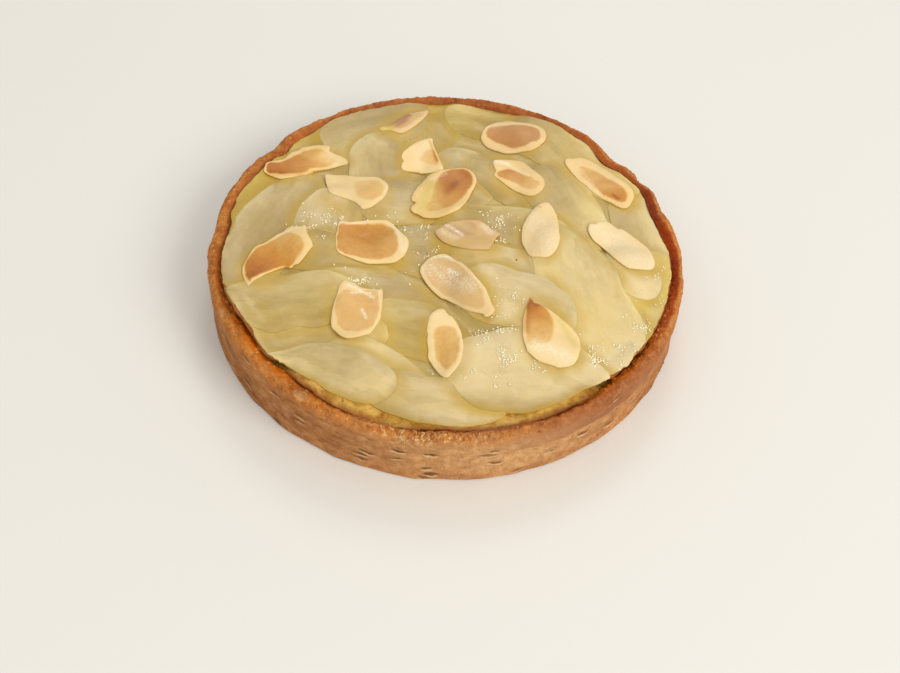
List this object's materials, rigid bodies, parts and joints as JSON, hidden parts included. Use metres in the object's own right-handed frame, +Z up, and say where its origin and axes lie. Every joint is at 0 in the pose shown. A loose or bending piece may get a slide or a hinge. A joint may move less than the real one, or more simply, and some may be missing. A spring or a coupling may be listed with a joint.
{
  "type": "pear tart",
  "caption": "Small round pear tart: an upright shortcrust shell filled with almond cream, tiled with thin glazed pear slices and scattered with toasted almond flakes.",
  "frame": {"origin": "centre of the shell's flat underside", "axes": "+Z up out of the tart's face; -Y is the front as pictured and +X is to the right as seen from the front"},
  "size_m": [0.1212, 0.1212, 0.023],
  "materials": {
    "pastry": "matte, crumbly, browner at the rim",
    "cream": "moist, slightly grainy",
    "pear": "translucent, glazed",
    "almond": "satin, cream edge and toasted middle"
  },
  "bodies": {
    "root": {"crust": "pastry", "almond_cream": "cream", "pear_slice_01": "pear", "pear_slice_02": "pear", "pear_slice_03": "pear", "pear_slice_04": "pear", "pear_slice_05": "pear", "pear_slice_06": "pear", "pear_slice_07": "pear", "pear_slice_08": "pear", "pear_slice_09": "pear", "pear_slice_10": "pear", "pear_slice_11": "pear", "pear_slice_12": "pear", "pear_slice_13": "pear", "pear_slice_14": "pear", "pear_slice_15": "pear", "pear_slice_16": "pear", "pear_slice_17": "pear", "pear_slice_18": "pear", "pear_slice_19": "pear", "pear_slice_20": "pear", "pear_slice_21": "pear", "pear_slice_22": "pear", "pear_slice_23": "pear", "pear_slice_24": "pear", "pear_slice_25": "pear", "pear_slice_26": "pear", "pear_slice_27": "pear", "pear_slice_28": "pear", "pear_slice_29": "pear", "pear_slice_30": "pear", "pear_slice_31": "pear", "pear_slice_32": "pear", "almond_flake_01": "almond", "almond_flake_02": "almond", "almond_flake_03": "almond", "almond_flake_04": "almond", "almond_flake_05": "almond", "almond_flake_06": "almond", "almond_flake_07": "almond", "almond_flake_08": "almond", "almond_flake_09": "almond", "almond_flake_10": "almond", "almond_flake_11": "almond", "almond_flake_12": "almond", "almond_flake_13": "almond", "almond_flake_14": "almond", "almond_flake_15": "almond", "almond_flake_16": "almond", "almond_flake_17": "almond"}
  },
  "joints": []
}
